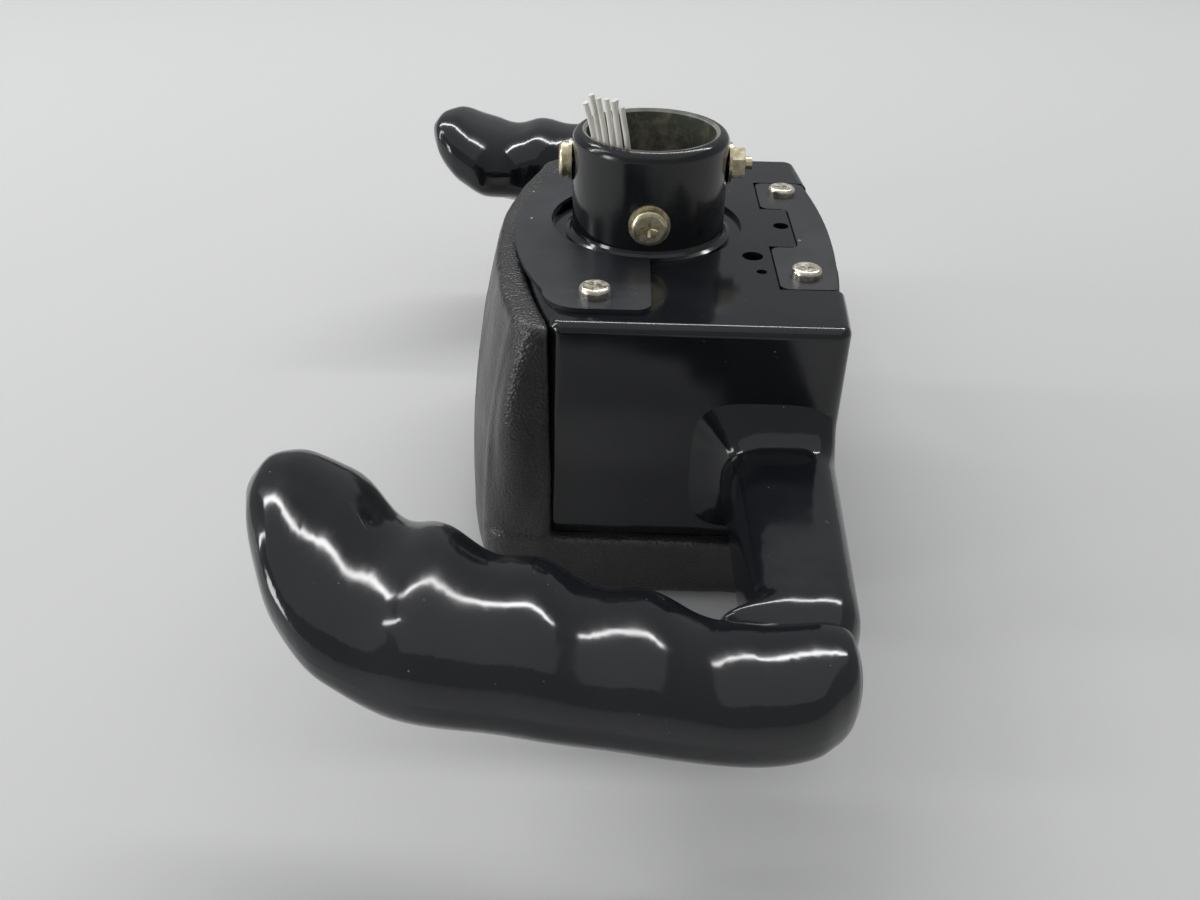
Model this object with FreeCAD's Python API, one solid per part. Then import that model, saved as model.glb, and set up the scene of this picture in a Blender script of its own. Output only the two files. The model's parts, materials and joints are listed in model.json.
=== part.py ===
"""Aircraft control wheel: a hub box with two finger-grooved horns, a column collar, a padded
pilot side and two hand switches in the left horn.

Millimetres. The origin is on the collar axis, on the hub face that the collar stands on.
+Z runs out of the collar, towards the instrument panel, -X is up in the aircraft, and the
left horn is at +Y. The wheel lies here on its pad, as it is put down on a bench.
"""
import FreeCAD
import Part
import math
import os

V = FreeCAD.Vector

# Hub box: outline in X and Y, walls and depth
HUB_HALF_Y = 60.0
HUB_UP_X = -24.0
HUB_UP_BULGE = 10.0
HUB_UP_DRAFT = 3.0
HUB_DOWN_X = 48.5
HUB_DOWN_BULGE = 2.5
HUB_DEPTH = 62.0
HUB_WALL = 4.0
HUB_CORNER = 4.0
HUB_EDGE = 2.5

# Column collar and its joint with the hub
COLLAR_R = 21.15
COLLAR_BORE_R = 17.465
COLLAR_HEIGHT = 28.0
COLLAR_LIP = 2.6
COLLAR_CHAMFER = 0.6
FLANGE_R = 27.0
FLANGE_THICK = 4.0
FLANGE_SCREW_R = 1.5
FLANGE_SCREW_CIRCLE = 24.2
FLANGE_SCREW_HEAD_R = 2.6
FLANGE_SCREW_HEAD_H = 1.8
FLANGE_SCREW_BITE = 2.0
FLARE_HEIGHT = 2.0
FLARE_WIDTH = 1.9
FIT_GAP = 0.05
TURN_GAP = 0.06
PIN_GAP = 0.02
CLEAR_GAP = 0.3

# Bolts through the collar
BOLT_R = 1.75
BOLT_HEAD_R = 4.8
BOLT_HEAD_H = 2.7
WASHER_R = 5.5
WASHER_THICK = 0.8
NUT_ACROSS = 7.4
NUT_THICK = 3.6
BOLT_END = 2.0
RECESS_SHARE = 0.42
RECESS_WIDTH_SHARE = 0.20
RECESS_DEPTH_SHARE = 0.7
UPPER_BOLT_Z = 19.2
LOWER_BOLT_Z = 9.5

# Upper cover plate
UPPER_PLATE_THICK = 1.2
UPPER_PLATE_HALF_Y = 53.6
UPPER_PLATE_RIGHT_X = 0.5
UPPER_PLATE_END_X = -26.5
UPPER_PLATE_BULGE = 10.5
UPPER_PLATE_UP_CORNER = 10.0
UPPER_PLATE_DOWN_CORNER = 3.5
UPPER_CUTOUT_R = 27.3
UPPER_CUTOUT_SHIFT_Y = 4.0
MOAT_LEDGE = 0.6
MOAT_DEPTH = 1.2
UPPER_SCREW_X = -13.3
UPPER_SCREW_Y = 45.3
ACCESS_HALF_Y = 38.0
ACCESS_MARGIN = 5.5
ACCESS_RING = 0.4

# Lower cover plate, let into the face
LOWER_PLATE_THICK = 1.0
LOWER_PLATE_HALF_Y = 37.5
LOWER_LOBE_X = 33.6
LOWER_NOTCH_X = 41.2
LOWER_NOTCH_HALF_Y = 14.0
LOWER_NOTCH_SHIFT_Y = 2.5
LOWER_PLATE_CORNER = 2.5
LOWER_PLATE_END_X = 47.8
LOWER_PLATE_BULGE = 3.0
LOWER_SCREW_X = 40.9
LOWER_SCREW_Y = 29.0
SIDE_POCKET_DEPTH = 12.0
LOWER_RECESS_GAP = 0.5

# Cover screws
COVER_SCREW_R = 1.9
COVER_HEAD_R = 4.0
COVER_HEAD_H = 2.3
COVER_SCREW_LENGTH = 8.0

# Open holes in the face, beside the collar
FACE_HOLES = ((28.1, -17.8, 2.8), (38.0, 3.6, 2.2))
FACE_DIMPLE = (29.6, -27.6, 1.4, 1.2)

# Arms: rounded square bars from the hub's near and far walls to the horns
ARM_UP_X = 21.0
ARM_DOWN_X = 48.3
ARM_UP_TAPER = -1.0
ARM_DOWN_TAPER = 4.3
ARM_TOP_Z = -29.5
ARM_BOTTOM_Z = -56.0
ARM_LIFT = 1.3
ARM_LENGTH = 71.0
ARM_ROOT_FILLET = 9.0
ARM_BOTTOM_FILLET = 3.0
ARM_TIP_FILLET = 4.0
ARM_TIP_Y = 121.0
ARM_END_INSET = 4.5
ARM_SQUARENESS = 4.0
ARM_SECTIONS = 26
ARM_CROWDING = 1.4
FILLET_POWER = 2.5
FILLET_BITE = 0.15

# Horns: a station is how far along X, how far out, how high, half width and half depth
HORN_BASE_X = 41.8
HORN_LENGTH = 121.1
HORN_OUT_Y = 134.0
HORN_MID_Z = -40.0
HORN_HALF_WIDTH = 20.0
HORN_HALF_DEPTH = 16.0
HORN_SQUARENESS = 2.4
HORN_STATIONS = (
    (0.000, -1.2, 0.5, 0.34, 0.46), (0.010, -1.2, 0.5, 0.46, 0.61), (0.030, -0.8, 0.3, 0.57, 0.69),
    (0.070, 0.6, 0.0, 0.67, 0.74), (0.120, 1.6, -0.2, 0.71, 0.74), (0.200, 2.6, 0.8, 0.74, 0.74),
    (0.300, 2.9, 4.6, 0.82, 0.79), (0.435, 2.9, 8.7, 0.88, 0.82), (0.590, 1.2, 12.6, 0.98, 0.89),
    (0.725, -3.2, 13.8, 1.15, 0.90), (0.843, -10.4, 17.6, 1.27, 0.80), (0.915, -14.0, 22.8, 1.08, 0.76),
    (0.966, -17.8, 26.8, 0.70, 0.55), (0.990, -19.4, 29.0, 0.37, 0.30), (1.000, -19.6, 29.8, 0.05, 0.05))
GROOVE_PITCH = 20.6
GROOVE_FIRST_X = -50.8
GROOVE_DEPTHS = (3.2, 2.2, 2.1, 1.4)
GROOVE_TURN = 55.0
HORN_SECTIONS = 44
HORN_END_CROWDING = 0.66
SECTION_POINTS = 20

# Pad with its skirt over the upper side, and the plate that carries it
PAD_THICK = 21.0
PAD_RIM = 4.0
PAD_GAP = 0.3
PAD_EDGE = 7.0
PAD_CORNER = 9.0
SKIRT_TOP_Z = -1.0
SKIRT_TOP_THICK = 9.6
SKIRT_MID_THICK = 15.8
SKIRT_FOOT_THICK = 19.0
SKIRT_EDGE = 2.0
SKIRT_END_TOP = 1.2
SKIRT_END_FOOT = 3.0
BACK_PLATE_THICK = 2.0
BACK_PLATE_MARGIN = 1.0
EAR_R = 6.5
EAR_THICK = 5.0
EAR_INSET = 10.0
STUD_R = 2.0
STUD_NUT_ACROSS = 7.0
STUD_NUT_THICK = 3.2

# Wires out of the collar
WIRE_R = 0.75
GROMMET_TOP_Z = -2.0
GROMMET_THICK = 4.0
WIRE_ROUTES = (
    ((-11.6, -5.4, -1.7), (-13.2, -7.0, 10.0), (-14.1, -7.5, 26.0), (-17.3, -10.4, 37.6)),
    ((-9.6, -7.2, -1.7), (-12.0, -9.0, 10.0), (-12.6, -9.7, 26.0), (-15.8, -11.7, 40.0)),
    ((-7.4, -8.8, -1.7), (-10.3, -11.0, 10.0), (-11.2, -11.5, 26.0), (-14.0, -12.9, 39.5)),
    ((-5.2, -10.6, -1.7), (-8.2, -12.6, 10.0), (-9.6, -13.1, 26.0), (-11.9, -14.0, 39.6)),
    ((-4.6, -13.6, -1.7), (-6.3, -13.9, 10.0), (-7.8, -14.2, 26.0), (-10.1, -15.2, 39.5)),
    ((-6.2, -6.4, -1.7), (-8.6, -8.8, 10.0), (-9.6, -9.8, 26.0), (-9.6, -12.0, 39.0)),
    ((-4.5, -7.9, -1.7), (-5.4, -11.2, 10.0), (-5.4, -14.8, 25.5), (-8.1, -15.9, 38.2)),
    ((-13.4, -3.4, -1.7), (-14.8, -4.9, 8.0), (-15.4, -4.5, 17.5), (-15.8, -0.5, 24.5), (-15.3, 4.5, 27.0)))

# Push-to-talk button in the pilot side of the left horn
PTT_X = -54.6
PTT_Y = 126.0
PTT_SEAT_DEPTH = 1.1
PTT_SEAT_R = 8.2
PTT_BODY_R = 6.0
PTT_BODY_LENGTH = 14.0
PTT_FLANGE_R = 7.8
PTT_FLANGE_THICK = 1.6
PTT_BORE_R = 4.45
PTT_MOUTH_R = 3.65
PTT_MOUTH_LENGTH = 1.6
PTT_PROUD = 2.2
PTT_HEAD_LENGTH = 3.2
PTT_SWITCH_LENGTH = 7.0
PTT_SWITCH_GRIP = 2.5
PTT_TRAVEL = 1.5
PTT_STOP_GAP = 0.1
SPRING_WIRE_R = 0.3
SPRING_TURNS = 4
SPRING_STEPS = 12

# Trim rocker below it on the same horn
TRIM_X = -32.0
TRIM_Y = 134.5
TRIM_SEAT_DEPTH = 1.0
TRIM_FRAME_X = 23.0
TRIM_FRAME_Y = 13.4
TRIM_FRAME_THICK = 1.4
TRIM_BOX_X = 19.4
TRIM_BOX_Y = 11.0
TRIM_BOX_DEPTH = 11.0
TRIM_OPEN_X = 17.2
TRIM_OPEN_Y = 8.4
TRIM_CAVITY_DEPTH = 6.0
ROCKER_X = 15.0
ROCKER_Y = 7.8
ROCKER_PROUD = 2.0
ROCKER_DIP = 1.2
ROCKER_FOOT = 2.6
ROCKER_PIN_R = 1.0
ROCKER_PIN_LIFT = 2.2


def arc(a, b, c):
    """An arc edge through three points."""
    return Part.Arc(a, b, c).toShape()


def line(a, b):
    """A straight edge."""
    return Part.makeLine(a, b)


def bowed(a, b, bulge):
    """An edge from a to b along Y that bows out by a bulge in X, or a straight one."""
    if abs(bulge) < 0.01:
        return line(a, b)
    return arc(a, V(a.x + bulge, (a.y + b.y) / 2, a.z), b)


def box(x0, x1, y0, y1, z0, z1):
    """A block between two corners."""
    return Part.makeBox(x1 - x0, y1 - y0, z1 - z0, V(x0, y0, z0))


def rod(r, a, b):
    """A round bar from a to b."""
    return Part.makeCylinder(r, (b - a).Length, a, b - a)


def revolved(points):
    """A solid turned about Z from (radius, height) points."""
    wire = Part.makePolygon([V(r, 0, z) for r, z in points] + [V(points[0][0], 0, points[0][1])])
    return Part.Face(wire).revolve(V(0, 0, 0), V(0, 0, 1), 360)


def placed(shape, base, direction=V(0, 0, 1)):
    """The shape with its own Z turned to a direction and its origin at base."""
    result = shape.copy()
    moved = FreeCAD.Placement(base, FreeCAD.Rotation(V(0, 0, 1), direction))
    result.Placement = moved.multiply(shape.Placement)
    return result


def hexagon(across, thick, hole_r):
    """A hexagon nut standing on Z = 0."""
    corner = across / math.sqrt(3)
    points = [V(corner * math.cos(math.radians(60 * i)), corner * math.sin(math.radians(60 * i)), 0)
              for i in range(7)]
    nut = Part.Face(Part.makePolygon(points)).extrude(V(0, 0, thick))
    chamfer = Part.makeCone(corner + thick * 1.2, corner * 0.93, thick)
    return nut.common(chamfer).cut(Part.makeCylinder(hole_r, thick))


def cross_recess(reach):
    """The cross-shaped hole for a screwdriver, narrowing downwards from Z = 0."""
    depth = reach * RECESS_DEPTH_SHARE
    half = reach * RECESS_WIDTH_SHARE
    cross = box(-reach, reach, -half, half, -depth, depth).fuse(box(-half, half, -reach, reach, -depth, depth))
    return cross.common(Part.makeCone(half, 2 * reach - half, 2 * depth, V(0, 0, -depth)))


def pan_screw(head_r, head_h, shank_r, length):
    """A domed pan head above Z = 0 with a cross recess, and its shank below."""
    rim = head_h * 0.55
    head = Part.makeCylinder(head_r, head_h)
    head = head.makeFillet(head_h - rim, [e for e in head.Edges if e.BoundBox.ZMin > head_h - 0.01])
    recess = cross_recess(head_r * RECESS_SHARE)
    recess.translate(V(0, 0, head_h))
    return head.cut(recess).fuse(Part.makeCylinder(shank_r, length, V(0, 0, -length))).removeSplitter()


def side_outline(up_x, up_bulge, down_x, down_bulge, half_y, up_corner, down_corner, z):
    """A closed outline with straight ends at +-half_y and bowed sides, corners rounded."""
    diag_up = up_corner * (1 - math.sqrt(0.5))
    diag_down = down_corner * (1 - math.sqrt(0.5))
    a = V(up_x + up_corner, -half_y, z)
    b = V(down_x - down_corner, -half_y, z)
    c = V(down_x, -half_y + down_corner, z)
    d = V(down_x, half_y - down_corner, z)
    e = V(down_x - down_corner, half_y, z)
    f = V(up_x + up_corner, half_y, z)
    g = V(up_x, half_y - up_corner, z)
    h = V(up_x, -half_y + up_corner, z)
    edges = [line(a, b), arc(b, V(down_x - diag_down, -half_y + diag_down, z), c),
             bowed(c, d, down_bulge),
             arc(d, V(down_x - diag_down, half_y - diag_down, z), e), line(e, f),
             arc(f, V(up_x + diag_up, half_y - diag_up, z), g), bowed(g, h, -up_bulge),
             arc(h, V(up_x + diag_up, -half_y + diag_up, z), a)]
    return Part.Wire(edges)


def hub_outline(grow, z):
    """The hub's outline at a height, grown outwards (or, if negative, inwards) by a margin."""
    corner = max(1.0, HUB_CORNER + grow)
    up_x = HUB_UP_X + HUB_UP_DRAFT * z / HUB_DEPTH
    return side_outline(up_x - grow, HUB_UP_BULGE, HUB_DOWN_X + grow, HUB_DOWN_BULGE,
                        HUB_HALF_Y + grow, corner, corner, z)


def hub_block(grow, bottom, top):
    """The hub's form between two heights, with the draft of its upper side."""
    return Part.makeLoft([hub_outline(grow, bottom), hub_outline(grow, top)], True, True)


def prism(wire, height):
    """A solid extruded along Z from a closed outline."""
    return Part.Face(wire).extrude(V(0, 0, height))


def closed_section(points):
    """A smooth closed curve through points, in two halves so that a loft through it has no seam."""
    curve = Part.BSplineCurve()
    curve.interpolate(Points=points, PeriodicFlag=True)
    middle = curve.parameter(points[len(points) // 2])
    halves = []
    for start, end in ((curve.FirstParameter, middle), (middle, curve.LastParameter)):
        half = curve.copy()
        half.segment(start, end)
        halves.append(half.toShape())
    return Part.Wire(halves)


def blend(table, share):
    """Values of a station table at a share of the length, with smooth monotone changes."""
    i = 0
    while i < len(table) - 2 and share > table[i + 1][0]:
        i += 1
    x0, x1 = table[i][0], table[i + 1][0]
    t = (share - x0) / (x1 - x0)
    result = []
    for k in range(1, len(table[0])):
        slopes = []
        for j in (i, i + 1):
            if j == 0 or j == len(table) - 1:
                n = min(j, len(table) - 2)
                slopes.append((table[n + 1][k] - table[n][k]) / (table[n + 1][0] - table[n][0]))
                continue
            left = (table[j][k] - table[j - 1][k]) / (table[j][0] - table[j - 1][0])
            right = (table[j + 1][k] - table[j][k]) / (table[j + 1][0] - table[j][0])
            slopes.append(0.0 if left * right <= 0 else 2 * left * right / (left + right))
        h = x1 - x0
        a, b = table[i][k], table[i + 1][k]
        result.append(a * (1 + 2 * t) * (1 - t) ** 2 + slopes[0] * h * t * (1 - t) ** 2
                      + b * t * t * (3 - 2 * t) + slopes[1] * h * t * t * (t - 1))
    return result


def groove_depth(x):
    """How deep the finger grooves are at this X, at the middle of their arc."""
    for number, depth in enumerate(GROOVE_DEPTHS):
        away = (x - GROOVE_FIRST_X) / GROOVE_PITCH - number
        if abs(away) < 0.5:
            return depth * (0.5 + 0.5 * math.cos(2 * math.pi * away))
    return 0.0


def squared(turn, power):
    """Cosine and sine of a turn, pushed out towards a rounded square."""
    c, s = math.cos(turn), math.sin(turn)
    return math.copysign(abs(c) ** (2 / power), c), math.copysign(abs(s) ** (2 / power), s)


def horn_section(share):
    """One cross-section of the left horn, with its finger grooves on the forward inner side."""
    out, high, wide, deep = blend(HORN_STATIONS, share)
    x = HORN_BASE_X - HORN_LENGTH * share
    groove = groove_depth(x)
    points = []
    for i in range(SECTION_POINTS):
        turn = 2 * math.pi * i / SECTION_POINTS
        inset = groove * (0.5 + 0.5 * math.cos(turn - math.radians(GROOVE_TURN)))
        across, up = squared(turn, HORN_SQUARENESS)
        y = HORN_OUT_Y + out - (wide * HORN_HALF_WIDTH - inset) * across
        z = HORN_MID_Z + high + (deep * HORN_HALF_DEPTH - inset) * up
        points.append(V(x, y, z))
    return closed_section(points)


def horn():
    """The left horn, lofted through its sections from the base to the rounded end."""
    sections = []
    for i in range(HORN_SECTIONS):
        t = i / (HORN_SECTIONS - 1)
        # sections stand closer together at both rounded ends
        share = t - HORN_END_CROWDING * math.sin(2 * math.pi * t) / (2 * math.pi)
        sections.append(horn_section(share))
    return Part.makeLoft(sections, True, False)


def pilot_side_z(x):
    """How low the middle of a horn's pilot side is at this X."""
    out, high, wide, deep = blend(HORN_STATIONS, (HORN_BASE_X - x) / HORN_LENGTH)
    return HORN_MID_Z + high - deep * HORN_HALF_DEPTH


def in_seat(shape, x, y, span, depth):
    """A control's shape, its Z into the horn, moved to a seat in the left horn's pilot side."""
    lower, upper = pilot_side_z(x + span / 2), pilot_side_z(x - span / 2)
    tilt = math.atan2(upper - lower, span)
    inward = V(math.sin(tilt), 0, math.cos(tilt))
    return placed(shape, V(x, y, (lower + upper) / 2) + inward * depth, inward)


def fillet_flare(distance, radius):
    """How far a fillet stands out at a distance from the wall that it runs into."""
    return radius * min(1.0 + FILLET_BITE, max(0.0, 1 - distance / radius)) ** FILLET_POWER


def arm_section(y):
    """One cross-section of the left arm: a rounded square that widens towards the hub and the horn."""
    t = (y - HUB_HALF_Y) / ARM_LENGTH
    root = y - HUB_HALF_Y
    end = max(0.0, (y - ARM_TIP_Y) / (HUB_HALF_Y + ARM_LENGTH - ARM_TIP_Y)) ** 2
    left = ARM_UP_X - ARM_UP_TAPER * t - fillet_flare(root, ARM_ROOT_FILLET)
    left -= fillet_flare(ARM_TIP_Y - y, ARM_TIP_FILLET)
    right = ARM_DOWN_X - ARM_DOWN_TAPER * t - ARM_END_INSET * end
    top = ARM_TOP_Z + ARM_LIFT * t + fillet_flare(root, ARM_ROOT_FILLET) - ARM_END_INSET * end
    bottom = ARM_BOTTOM_Z + ARM_LIFT * t - fillet_flare(root, ARM_BOTTOM_FILLET) + ARM_END_INSET * end
    points = []
    for i in range(SECTION_POINTS):
        across, up = squared(2 * math.pi * i / SECTION_POINTS, ARM_SQUARENESS)
        x = (left + right) / 2 + (right - left) / 2 * across
        z = (top + bottom) / 2 + (top - bottom) / 2 * up
        points.append(V(x, y, z))
    return closed_section(points)


def arm():
    """The left arm, lofted from inside the hub's wall into the horn."""
    start = HUB_HALF_Y - 1.0
    sections = []
    for i in range(ARM_SECTIONS):
        share = i / (ARM_SECTIONS - 1)
        # sections stand closer together where the root fillet turns
        sections.append(arm_section(start + ARM_LENGTH * share ** ARM_CROWDING))
    return Part.makeLoft(sections, True, False)


def upper_access():
    """The opening in the face that the upper cover plate closes, clear of the collar's ring."""
    outline = side_outline(HUB_UP_X + ACCESS_MARGIN, HUB_UP_BULGE * (ACCESS_HALF_Y / HUB_HALF_Y) ** 0.5,
                           0.0, 0.0, ACCESS_HALF_Y, 4.0, 4.0, -HUB_WALL - 1)
    ring = Part.makeCylinder(FLANGE_R + ACCESS_RING, HUB_WALL + 3, V(0, 0, -HUB_WALL - 2))
    opening = prism(outline, HUB_WALL + 2).cut(ring)
    return opening.cut(box(-FLANGE_R / 2, FLANGE_R, -HUB_HALF_Y, HUB_HALF_Y, -HUB_WALL - 2, 2))


def lower_plate_outline(gap, z):
    """The C shape of the lower cover plate, grown by a gap for its recess."""
    half = LOWER_PLATE_HALF_Y + gap
    side = LOWER_PLATE_END_X + gap
    lobe = LOWER_LOBE_X - gap
    notch = LOWER_NOTCH_X - gap
    far, near = (LOWER_NOTCH_SHIFT_Y + sign * (LOWER_NOTCH_HALF_Y - gap) for sign in (1, -1))
    corners = [V(lobe, -half, z), V(side, -half, z), V(side, half, z), V(lobe, half, z),
               V(lobe, far, z), V(notch, far, z), V(notch, near, z), V(lobe, near, z)]
    edges = [line(corners[0], corners[1]), arc(corners[1], V(side + LOWER_PLATE_BULGE, 0, z), corners[2])]
    loop = corners[2:] + [corners[0]]
    edges += [line(p, q) for p, q in zip(loop[:-1], loop[1:])]
    return Part.Wire(edges)


def side_pocket():
    """What is cut from the hub's lower side, where it is let in to the lower plate's edge."""
    half = LOWER_PLATE_HALF_Y + LOWER_RECESS_GAP
    start = LOWER_PLATE_END_X + LOWER_RECESS_GAP
    ends = [V(start, -half, -SIDE_POCKET_DEPTH), V(start, half, -SIDE_POCKET_DEPTH)]
    out = V(LOWER_PLATE_BULGE + CLEAR_GAP, 0, 0)
    bow = arc(ends[0], V(start + LOWER_PLATE_BULGE, 0, -SIDE_POCKET_DEPTH), ends[1])
    return prism(Part.Wire([bow, line(ends[1], ends[1] + out), line(ends[1] + out, ends[0] + out),
                            line(ends[0] + out, ends[0])]), SIDE_POCKET_DEPTH + 1)


def moat():
    """The crescent groove between the collar's flare and the upper plate's cut-out."""
    room = Part.makeCylinder(UPPER_CUTOUT_R - MOAT_LEDGE, MOAT_DEPTH + 1, V(0, UPPER_CUTOUT_SHIFT_Y, -MOAT_DEPTH))
    return room.cut(Part.makeCylinder(COLLAR_R + FLARE_WIDTH, MOAT_DEPTH + 1, V(0, 0, -MOAT_DEPTH)))


def at_screws(shape, x, y, z):
    """The same shape at +y and -y."""
    return [placed(shape, V(x, side * y, z)) for side in (-1, 1)]


def ear_places():
    """Where the four corner ears of the hub carry the pad's studs."""
    return [V(x, side * (HUB_HALF_Y - EAR_INSET), 0) for side in (-1, 1)
            for x in (HUB_UP_X + EAR_INSET - 0.5, HUB_DOWN_X - EAR_INSET)]


def flange_screw_places():
    """Four screws round the collar, at 45 degrees."""
    return [V(FLANGE_SCREW_CIRCLE * math.cos(math.radians(a)),
              FLANGE_SCREW_CIRCLE * math.sin(math.radians(a)), 0) for a in (45, 135, 225, 315)]


def hub_cavity():
    """The hub's hollow, left solid at the four corner ears that carry the pad's studs."""
    cavity = hub_block(-HUB_WALL, -HUB_DEPTH - 1, -HUB_WALL)
    for place in ear_places():
        ear = Part.makeCylinder(EAR_R, EAR_THICK, V(place.x, place.y, -HUB_DEPTH))
        end_x = place.x + math.copysign(EAR_INSET, place.x)
        end_y = place.y + math.copysign(EAR_INSET, place.y)
        low, high = -HUB_DEPTH, -HUB_DEPTH + EAR_THICK
        to_end = box(place.x - EAR_R, place.x + EAR_R, min(place.y, end_y), max(place.y, end_y), low, high)
        to_side = box(min(place.x, end_x), max(place.x, end_x), place.y - EAR_R, place.y + EAR_R, low, high)
        cavity = cavity.cut(ear.fuse([to_end, to_side]))
    return cavity


def collar_flare():
    """The raised ring of the moulding that turns up against the collar."""
    inner = COLLAR_R + FIT_GAP
    return revolved([(inner, -HUB_WALL), (COLLAR_R + FLARE_WIDTH, -HUB_WALL), (COLLAR_R + FLARE_WIDTH, 0.0),
                     (COLLAR_R + FLARE_WIDTH * 0.45, FLARE_HEIGHT * 0.25),
                     (COLLAR_R + FLARE_WIDTH * 0.15, FLARE_HEIGHT * 0.6), (inner, FLARE_HEIGHT)])


def face_cuts():
    """What is cut into the hub's face: collar, covers, holes and screws."""
    through = HUB_WALL + 2
    below = -HUB_WALL - 1
    cuts = [Part.makeCylinder(COLLAR_R + FIT_GAP, through + FLARE_HEIGHT, V(0, 0, below)), upper_access(),
            prism(lower_plate_outline(LOWER_RECESS_GAP, -LOWER_PLATE_THICK), LOWER_PLATE_THICK + 1),
            side_pocket(), moat()]
    for x, y, r in FACE_HOLES:
        cuts.append(Part.makeCylinder(r, through, V(x, y, below)))
    x, y, r, depth = FACE_DIMPLE
    cuts.append(Part.makeCylinder(r, depth + 1, V(x, y, -depth)))
    hole = Part.makeCylinder(COVER_SCREW_R + FIT_GAP, through)
    cuts += at_screws(hole, UPPER_SCREW_X, UPPER_SCREW_Y, below)
    cuts += at_screws(hole, LOWER_SCREW_X, LOWER_SCREW_Y, below)
    for place in flange_screw_places():
        cuts.append(Part.makeCylinder(FLANGE_SCREW_R + FIT_GAP, FLANGE_SCREW_BITE + CLEAR_GAP,
                                      V(place.x, place.y, -HUB_WALL)))
    return cuts


def control_cuts():
    """The seats and bodies of the two hand switches, cut into the left horn."""
    seat = Part.makeCylinder(PTT_SEAT_R, PTT_SEAT_R, V(0, 0, -PTT_SEAT_R))
    barrel = Part.makeCylinder(PTT_BODY_R + FIT_GAP, PTT_BODY_LENGTH + PTT_SWITCH_LENGTH)
    frame_x = TRIM_FRAME_X / 2 + CLEAR_GAP
    frame_y = TRIM_FRAME_Y / 2 + CLEAR_GAP
    body_x = TRIM_BOX_X / 2 + FIT_GAP
    body_y = TRIM_BOX_Y / 2 + FIT_GAP
    pocket = box(-frame_x, frame_x, -frame_y, frame_y, -TRIM_BOX_DEPTH, 0)
    room = box(-body_x, body_x, -body_y, body_y, -1, TRIM_BOX_DEPTH + CLEAR_GAP)
    return [in_ptt_seat(seat.fuse(barrel)), in_trim_seat(pocket.fuse(room))]


def wheel_moulding():
    """The one-piece moulding: hub shell, arms and both horns."""
    hub = hub_block(0, -HUB_DEPTH, 0)
    hub = hub.makeFillet(HUB_EDGE, [e for e in hub.Edges if e.BoundBox.ZMin > -0.01])
    hub = hub.fuse(collar_flare()).cut(hub_cavity())
    stud_hole = Part.makeCylinder(STUD_R + CLEAR_GAP, EAR_THICK + 2)
    hub = hub.cut([placed(stud_hole, V(p.x, p.y, -HUB_DEPTH - 1)) for p in ear_places()] + face_cuts())
    grip = arm().fuse(horn())
    right_grip = grip.mirror(V(0, 0, 0), V(0, 1, 0))
    return hub.fuse(grip.cut(control_cuts())).fuse(right_grip)


def column_collar():
    """The steel tube that takes the control column, with its flange under the hub's face."""
    foot = -HUB_WALL - FLANGE_THICK
    tube = revolved([(COLLAR_BORE_R, foot), (FLANGE_R, foot), (FLANGE_R, -HUB_WALL), (COLLAR_R, -HUB_WALL),
                     (COLLAR_R, COLLAR_HEIGHT), (COLLAR_BORE_R + COLLAR_CHAMFER, COLLAR_HEIGHT),
                     (COLLAR_BORE_R, COLLAR_HEIGHT - COLLAR_CHAMFER)])
    lip = [e for e in tube.Edges if e.BoundBox.ZMin > COLLAR_HEIGHT - 0.01 and e.BoundBox.XLength > 2 * COLLAR_R - 0.1]
    tube = tube.makeFillet(COLLAR_LIP, lip)
    holes = [rod(BOLT_R + FIT_GAP, V(-COLLAR_R - 1, 0, UPPER_BOLT_Z), V(COLLAR_R + 1, 0, UPPER_BOLT_Z)),
             rod(BOLT_R + FIT_GAP, V(0, -COLLAR_R - 1, LOWER_BOLT_Z), V(0, COLLAR_R + 1, LOWER_BOLT_Z))]
    for place in flange_screw_places():
        holes.append(Part.makeCylinder(FLANGE_SCREW_R + FIT_GAP, FLANGE_THICK + 2, V(place.x, place.y, foot - 1)))
    return tube.cut(holes)


def flange_screws():
    """Four screws that hold the collar's flange up against the hub's face."""
    foot = -HUB_WALL - FLANGE_THICK
    screw = pan_screw(FLANGE_SCREW_HEAD_R, FLANGE_SCREW_HEAD_H, FLANGE_SCREW_R, FLANGE_THICK + FLANGE_SCREW_BITE)
    return [placed(screw, V(p.x, p.y, foot), V(0, 0, -1)) for p in flange_screw_places()]


def cross_bolt(direction, z):
    """A bolt right through the collar, with its head against a washer."""
    seat = COLLAR_R + WASHER_THICK
    shank = 2 * COLLAR_R + 2 * WASHER_THICK + NUT_THICK + BOLT_END
    screw = pan_screw(BOLT_HEAD_R, BOLT_HEAD_H, BOLT_R, shank)
    return placed(screw, V(-direction.x * seat, -direction.y * seat, z), direction.negative())


def washer_pair(direction, z):
    """The two washers of a collar bolt."""
    washer = Part.makeCylinder(WASHER_R, WASHER_THICK).cut(Part.makeCylinder(BOLT_R + FIT_GAP, WASHER_THICK))
    return [placed(washer, V(way * direction.x * COLLAR_R, way * direction.y * COLLAR_R, z), direction * way)
            for way in (-1, 1)]


def bolt_nut(direction, z):
    """The hexagon nut at the far end of a collar bolt."""
    nut = hexagon(NUT_ACROSS, NUT_THICK, BOLT_R + FIT_GAP)
    seat = COLLAR_R + WASHER_THICK
    return placed(nut, V(direction.x * seat, direction.y * seat, z), direction)


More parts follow.
